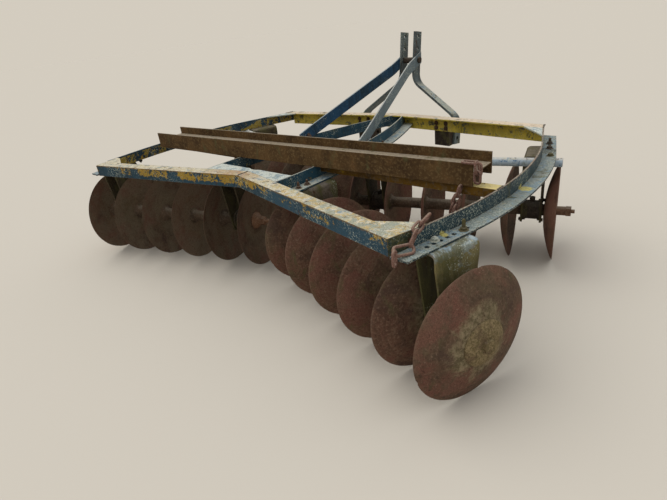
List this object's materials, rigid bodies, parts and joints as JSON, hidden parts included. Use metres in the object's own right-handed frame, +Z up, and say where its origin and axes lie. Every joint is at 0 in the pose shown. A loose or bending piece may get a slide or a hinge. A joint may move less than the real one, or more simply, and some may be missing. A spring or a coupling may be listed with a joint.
{
  "type": "mounted tandem disc harrow",
  "caption": "Mounted tandem disc harrow: angle-iron frame, free-turning gangs of dished discs, three-point hitch mast and a ballast beam chained on top.",
  "frame": {"origin": "on the ground, under the middle of the whole machine's box", "axes": "+X to the machine's right, +Y forward to the hitch, +Z up"},
  "size_m": [3.03, 2.1186, 1.2386],
  "materials": {
    "worn_blue_paint": "matt",
    "worn_yellow_paint": "matt",
    "weathered_grey_paint": "matt",
    "mossy_paint": "matt",
    "rusty_disc": "matt",
    "rusty_beam": "matt",
    "rusty_chain": "matt",
    "rusty_casting": "matt",
    "dark_rusty_steel": "matt"
  },
  "bodies": {
    "frame": {"rear_bar": "worn_blue_paint", "front_bar": "worn_yellow_paint", "side_arc_right": "worn_blue_paint", "side_arc_left": "worn_blue_paint", "inner_rail_right": "worn_blue_paint", "inner_rail_left": "worn_blue_paint", "cross_tie_right": "worn_yellow_paint", "cross_tie_left": "worn_yellow_paint", "gusset_plates": "worn_blue_paint", "mast_bar_right": "weathered_grey_paint", "mast_bar_left": "weathered_grey_paint", "mast_brace_right": "worn_blue_paint", "mast_brace_left": "worn_blue_paint", "mast_bolt": "dark_rusty_steel", "hitch_bracket_right": "dark_rusty_steel", "hitch_bracket_left": "dark_rusty_steel", "gang_tube_right": "weathered_grey_paint", "gang_tube_left": "weathered_grey_paint", "ballast_beam": "rusty_beam", "beam_chain": "rusty_chain", "corner_chain": "rusty_chain", "hangers_rear_right": "mossy_paint", "hangers_rear_left": "mossy_paint", "hangers_front_right": "mossy_paint", "hangers_front_left": "mossy_paint", "bearings_rear_right": "dark_rusty_steel", "bearings_rear_left": "dark_rusty_steel", "bearings_front_right": "dark_rusty_steel", "bearings_front_left": "dark_rusty_steel"},
    "gang_rear_right": {"discs_rear_right": "rusty_disc", "spools_rear_right": "rusty_casting", "axle_rear_right": "rusty_casting"},
    "gang_rear_left": {"discs_rear_left": "rusty_disc", "spools_rear_left": "rusty_casting", "axle_rear_left": "rusty_casting"},
    "gang_front_right": {"discs_front_right": "rusty_disc", "spools_front_right": "rusty_casting", "axle_front_right": "rusty_casting"},
    "gang_front_left": {"discs_front_left": "rusty_disc", "spools_front_left": "rusty_casting", "axle_front_left": "rusty_casting"}
  },
  "joints": [
    {"name": "gang_rear_right_spin", "type": "hinge", "parent": "frame", "child": "gang_rear_right", "pos_m": [0.2035, -0.41871, 0.28], "axis": [0.9563, -0.2924, 0], "continuous": true},
    {"name": "gang_rear_left_spin", "type": "hinge", "parent": "frame", "child": "gang_rear_left", "pos_m": [-0.2035, -0.41871, 0.28], "axis": [-0.9563, -0.2924, 0], "continuous": true},
    {"name": "gang_front_right_spin", "type": "hinge", "parent": "frame", "child": "gang_front_right", "pos_m": [1.277, 0.49429, 0.28], "axis": [0.9563, 0.2924, 0], "continuous": true},
    {"name": "gang_front_left_spin", "type": "hinge", "parent": "frame", "child": "gang_front_left", "pos_m": [-1.277, 0.49429, 0.28], "axis": [-0.9563, 0.2924, 0], "continuous": true}
  ]
}
